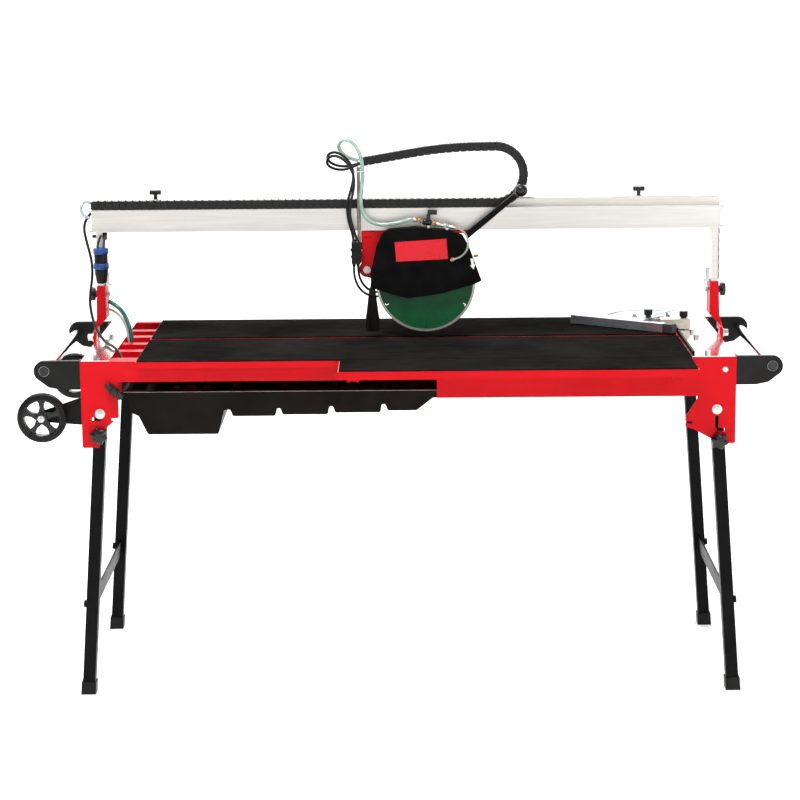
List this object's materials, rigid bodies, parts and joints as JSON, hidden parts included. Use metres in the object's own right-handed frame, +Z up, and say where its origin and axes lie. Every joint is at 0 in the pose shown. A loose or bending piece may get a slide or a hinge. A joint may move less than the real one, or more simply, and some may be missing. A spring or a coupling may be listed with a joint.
{
  "type": "tile cutter",
  "caption": "Bridge wet tile saw on folding legs: split rubber-topped table, tilting aluminium beam, travelling plunge head with hose and cable chain.",
  "frame": {"origin": "on the floor under the middle of the machine's box, cords left out", "axes": "+X along the beam to the operator's right, +Y away from the operator, +Z up"},
  "size_m": [1.851, 0.787, 1.3448],
  "materials": {
    "red_paint": "gloss",
    "black_paint": "satin",
    "deck_steel": "polished",
    "zinc": "satin",
    "mat_rubber": "matt",
    "black_plastic": "satin",
    "tray_plastic": "satin",
    "chrome": "polished",
    "beam_aluminium": "satin",
    "motor_black": "satin",
    "guard_black": "satin",
    "blade_green": "satin",
    "brush_bristle": "matt",
    "steel": "satin",
    "valve_plastic": "gloss",
    "hose_green": "gloss",
    "cable_black": "satin",
    "connector_blue": "satin",
    "pump_black": "satin"
  },
  "bodies": {
    "frame": {"front_frame_panel": "red_paint", "rear_frame_panel": "red_paint", "end_plates": "red_paint", "deck_plates": "deck_steel", "table_rails": "red_paint", "front_table": "red_paint", "rear_table": "red_paint", "table_mats": "mat_rubber", "side_stops": "zinc", "frame_bolts": "zinc", "end_brackets": "black_plastic", "handle_tubes": "chrome", "pump": "pump_black"},
    "front_wheel": {"front_wheel": "black_plastic"},
    "rear_wheel": {"rear_wheel": "black_plastic"},
    "left_legs": {"left_leg_frame": "black_paint", "left_feet": "black_plastic"},
    "right_legs": {"right_leg_frame": "black_paint", "right_feet": "black_plastic"},
    "left_star_knob": {"left_star_knob": "black_plastic"},
    "right_star_knob": {"right_star_knob": "black_plastic"},
    "extension": {"extension_table": "red_paint", "extension_mat": "mat_rubber"},
    "fence_slider": {"fence_block": "steel"},
    "fence_block_knob": {"fence_block_knob": "black_plastic"},
    "fence": {"fence_bar": "zinc"},
    "fence_angle_knob": {"fence_angle_knob": "black_plastic"},
    "tray": {"water_tray": "tray_plastic"},
    "tray_knob": {"tray_knob": "black_plastic"},
    "bridge": {"beam": "beam_aluminium", "uprights": "beam_aluminium", "tower_arms": "red_paint", "tower_screws": "zinc", "stop_screws": "black_plastic", "power_connector": "connector_blue", "chain_lower": "black_plastic", "tower_cable": "cable_black", "end_hose": "hose_green", "supply_lines": "hose_green"},
    "left_clamp_knob": {"left_clamp_knob": "black_plastic"},
    "right_clamp_knob": {"right_clamp_knob": "black_plastic"},
    "head": {"trolley": "steel", "carriage_bracket": "red_paint", "chain_post": "black_paint", "cable_gland": "black_plastic", "swing_pin": "chrome", "chain_upper": "black_plastic", "head_hose": "hose_green", "head_cables": "cable_black", "motor_cables": "cable_black"},
    "chain_loop": {"chain_loop": "black_plastic"},
    "cutting_unit": {"plunge_arm": "red_paint", "motor": "motor_black", "blade_guard": "guard_black", "splash_brush": "brush_bristle", "plunge_handle": "black_paint", "valve_body": "valve_plastic"},
    "valve_lever": {"valve_lever": "valve_plastic"},
    "blade": {"blade": "blade_green", "spindle": "steel"}
  },
  "joints": [
    {"name": "bevel_tilt", "type": "hinge", "parent": "frame", "child": "bridge", "pos_m": [0.0235, 0.0735, 0.848], "axis": [1, 0, 0], "range_deg": [0, 45], "deforming": ["tower_cable", "supply_lines"]},
    {"name": "head_travel", "type": "slide", "parent": "bridge", "child": "head", "axis": [1, 0, 0], "range_m": [-0.56, 0.54], "deforming": ["chain_lower", "chain_upper"]},
    {"name": "chain_follow", "type": "slide", "parent": "head", "child": "chain_loop", "axis": [1, 0, 0], "range_m": [-0.27, 0.28]},
    {"name": "head_plunge", "type": "hinge", "parent": "head", "child": "cutting_unit", "pos_m": [-0.0785, 0.1025, 1.013], "axis": [0, -1, 0], "range_deg": [-12, 8], "deforming": ["head_hose", "motor_cables"]},
    {"name": "blade_spin", "type": "hinge", "parent": "cutting_unit", "child": "blade", "pos_m": [0.0695, 0.0735, 0.982], "axis": [0, 1, 0], "continuous": true},
    {"name": "valve_turn", "type": "hinge", "parent": "cutting_unit", "child": "valve_lever", "pos_m": [0.0775, 0.0655, 1.154], "axis": [0, 0, -1], "range_deg": [0, 90]},
    {"name": "left_clamp_turn", "type": "hinge", "parent": "bridge", "child": "left_clamp_knob", "pos_m": [-0.7715, 0.1215, 0.952], "axis": [1, 0, 0], "range_deg": [-180, 180]},
    {"name": "right_clamp_turn", "type": "hinge", "parent": "bridge", "child": "right_clamp_knob", "pos_m": [0.8185, 0.1215, 0.952], "axis": [1, 0, 0], "range_deg": [-180, 180]},
    {"name": "left_leg_fold", "type": "hinge", "parent": "frame", "child": "left_legs", "pos_m": [-0.7215, 0.0785, 0.71], "axis": [0, -1, 0], "range_deg": [0, 88]},
    {"name": "right_leg_fold", "type": "hinge", "parent": "frame", "child": "right_legs", "pos_m": [0.7685, 0.0785, 0.71], "axis": [0, 1, 0], "range_deg": [0, 88]},
    {"name": "left_star_turn", "type": "hinge", "parent": "frame", "child": "left_star_knob", "pos_m": [-0.72546, -0.2385, 0.657], "axis": [0, 1, 0], "range_deg": [-180, 180]},
    {"name": "right_star_turn", "type": "hinge", "parent": "frame", "child": "right_star_knob", "pos_m": [0.77417, -0.2385, 0.634], "axis": [0, 1, 0], "range_deg": [-180, 180]},
    {"name": "front_wheel_spin", "type": "hinge", "parent": "frame", "child": "front_wheel", "pos_m": [-0.8655, -0.2045, 0.697], "axis": [0, 1, 0], "continuous": true},
    {"name": "rear_wheel_spin", "type": "hinge", "parent": "frame", "child": "rear_wheel", "pos_m": [-0.8655, 0.3615, 0.697], "axis": [0, 1, 0], "continuous": true},
    {"name": "extension_slide", "type": "slide", "parent": "frame", "child": "extension", "axis": [0, -1, 0], "range_m": [0, 0.15]},
    {"name": "fence_slide", "type": "slide", "parent": "frame", "child": "fence_slider", "axis": [0, 1, 0], "range_m": [-0.02, 0.1]},
    {"name": "fence_angle", "type": "hinge", "parent": "fence_slider", "child": "fence", "pos_m": [0.6465, 0.2245, 0.865], "axis": [0, 0, 1], "range_deg": [-54, 0]},
    {"name": "fence_block_knob_turn", "type": "hinge", "parent": "fence_slider", "child": "fence_block_knob", "pos_m": [0.734, 0.1915, 0.875], "axis": [0, 0, 1], "range_deg": [-180, 180]},
    {"name": "fence_angle_knob_turn", "type": "hinge", "parent": "fence_slider", "child": "fence_angle_knob", "pos_m": [0.6465, 0.2245, 0.875], "axis": [0, 0, 1], "range_deg": [-180, 180]},
    {"name": "tray_drop", "type": "slide", "parent": "frame", "child": "tray", "axis": [0, 0, -1], "range_m": [0, 0.025]},
    {"name": "tray_knob_turn", "type": "hinge", "parent": "frame", "child": "tray_knob", "pos_m": [-0.6845, -0.2345, 0.767], "axis": [0, 1, 0], "range_deg": [-180, 180]}
  ],
  "couplings": [
    {"joint": "chain_follow", "follows": "head_travel", "ratio": -0.5}
  ]
}
